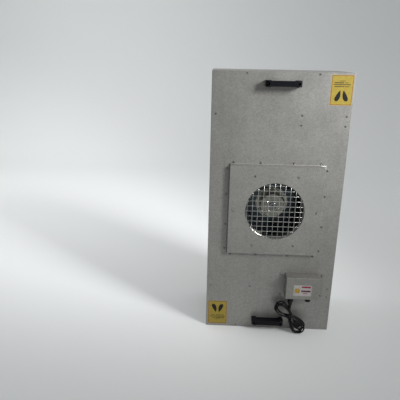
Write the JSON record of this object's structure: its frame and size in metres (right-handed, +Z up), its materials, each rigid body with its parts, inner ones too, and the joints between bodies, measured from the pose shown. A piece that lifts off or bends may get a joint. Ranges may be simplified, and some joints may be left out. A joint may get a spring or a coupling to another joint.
{
  "type": "fan filter unit",
  "caption": "Tall grey sheet-metal fan filter unit with a wire-guarded round inlet, black handles, a small control box with a bundled lead, and a mesh-faced filter behind.",
  "frame": {"origin": "under the middle of the unit, on the face it stands on", "axes": "+Z up the unit's long side, -Y out of the fan side, +Y out of the filter side, +X across the width"},
  "size_m": [0.5798, 0.3769, 1.175],
  "materials": {
    "galvanised_sheet": "spangled zinc coat, satin",
    "zinc_screws": "bright zinc",
    "guard_wire": "bright zinc",
    "spun_steel": "spun zinc sheet",
    "wheel_sheet": "mill finish",
    "cast_aluminium": "turned, satin",
    "motor_steel": "ground",
    "rubber_black": "matt",
    "rail_aluminium": "extruded, satin anodised",
    "filter_paper": "matt fibre",
    "sealant": "cast, satin",
    "mesh_cream": "powder coat, satin",
    "handle_plastic": "moulded, fine grain",
    "black_plastic": "moulded, satin",
    "lead_jacket": "smooth jacket, satin",
    "pin_metal": "bright nickel",
    "grey_plastic": "moulded, satin"
  },
  "bodies": {
    "unit": {"casing_wrap": "galvanised_sheet", "end_panel_bottom": "galvanised_sheet", "end_panel_top": "galvanised_sheet", "stiffener_lower": "galvanised_sheet", "stiffener_upper": "galvanised_sheet", "panel_rivets": "zinc_screws", "inlet_pan": "galvanised_sheet", "pan_screws": "zinc_screws", "inlet_ring": "spun_steel", "ring_screws": "zinc_screws", "inlet_guard": "guard_wire", "motor_bearings": "motor_steel", "motor_stator": "cast_aluminium", "motor_dampers": "rubber_black", "motor_strap": "galvanised_sheet", "motor_screws": "zinc_screws", "filter_stop": "galvanised_sheet", "filter_seal": "rubber_black", "filter_rail_left": "rail_aluminium", "filter_rail_right": "rail_aluminium", "filter_rail_top": "rail_aluminium", "filter_rail_bottom": "rail_aluminium", "media_pack": "filter_paper", "media_sealant": "sealant", "face_mesh": "mesh_cream", "rim_gasket": "rubber_black", "filter_screws": "zinc_screws", "handle_bottom": "handle_plastic", "handle_top": "handle_plastic", "handle_screws": "zinc_screws", "box_plate": "galvanised_sheet", "box_cover": "galvanised_sheet", "plate_screws": "zinc_screws", "wiring_grommet": "rubber_black", "terminal_block": "grey_plastic", "run_capacitor": "grey_plastic", "speed_control": "grey_plastic", "cable_gland": "black_plastic", "gland_nut": "black_plastic", "bend_boot": "black_plastic", "mains_lead": "lead_jacket", "lead_hank": "lead_jacket", "lead_tie": "black_plastic", "mains_plug": "black_plastic", "plug_pins": "pin_metal"},
    "wheel": {"impeller": "wheel_sheet", "rotor_rivets": "zinc_screws", "motor_rotor": "cast_aluminium", "motor_shaft": "motor_steel"},
    "knob": {"speed_knob": "black_plastic", "knob_shaft": "motor_steel"}
  },
  "joints": [
    {"name": "wheel_spin", "type": "hinge", "parent": "unit", "child": "wheel", "pos_m": [0, -0.012, 0.5875], "axis": [0, 1, 0], "continuous": true},
    {"name": "speed_turn", "type": "hinge", "parent": "unit", "child": "knob", "pos_m": [0.177, -0.16, 0.168], "axis": [0, 0, 1], "range_deg": [-135, 135]}
  ]
}
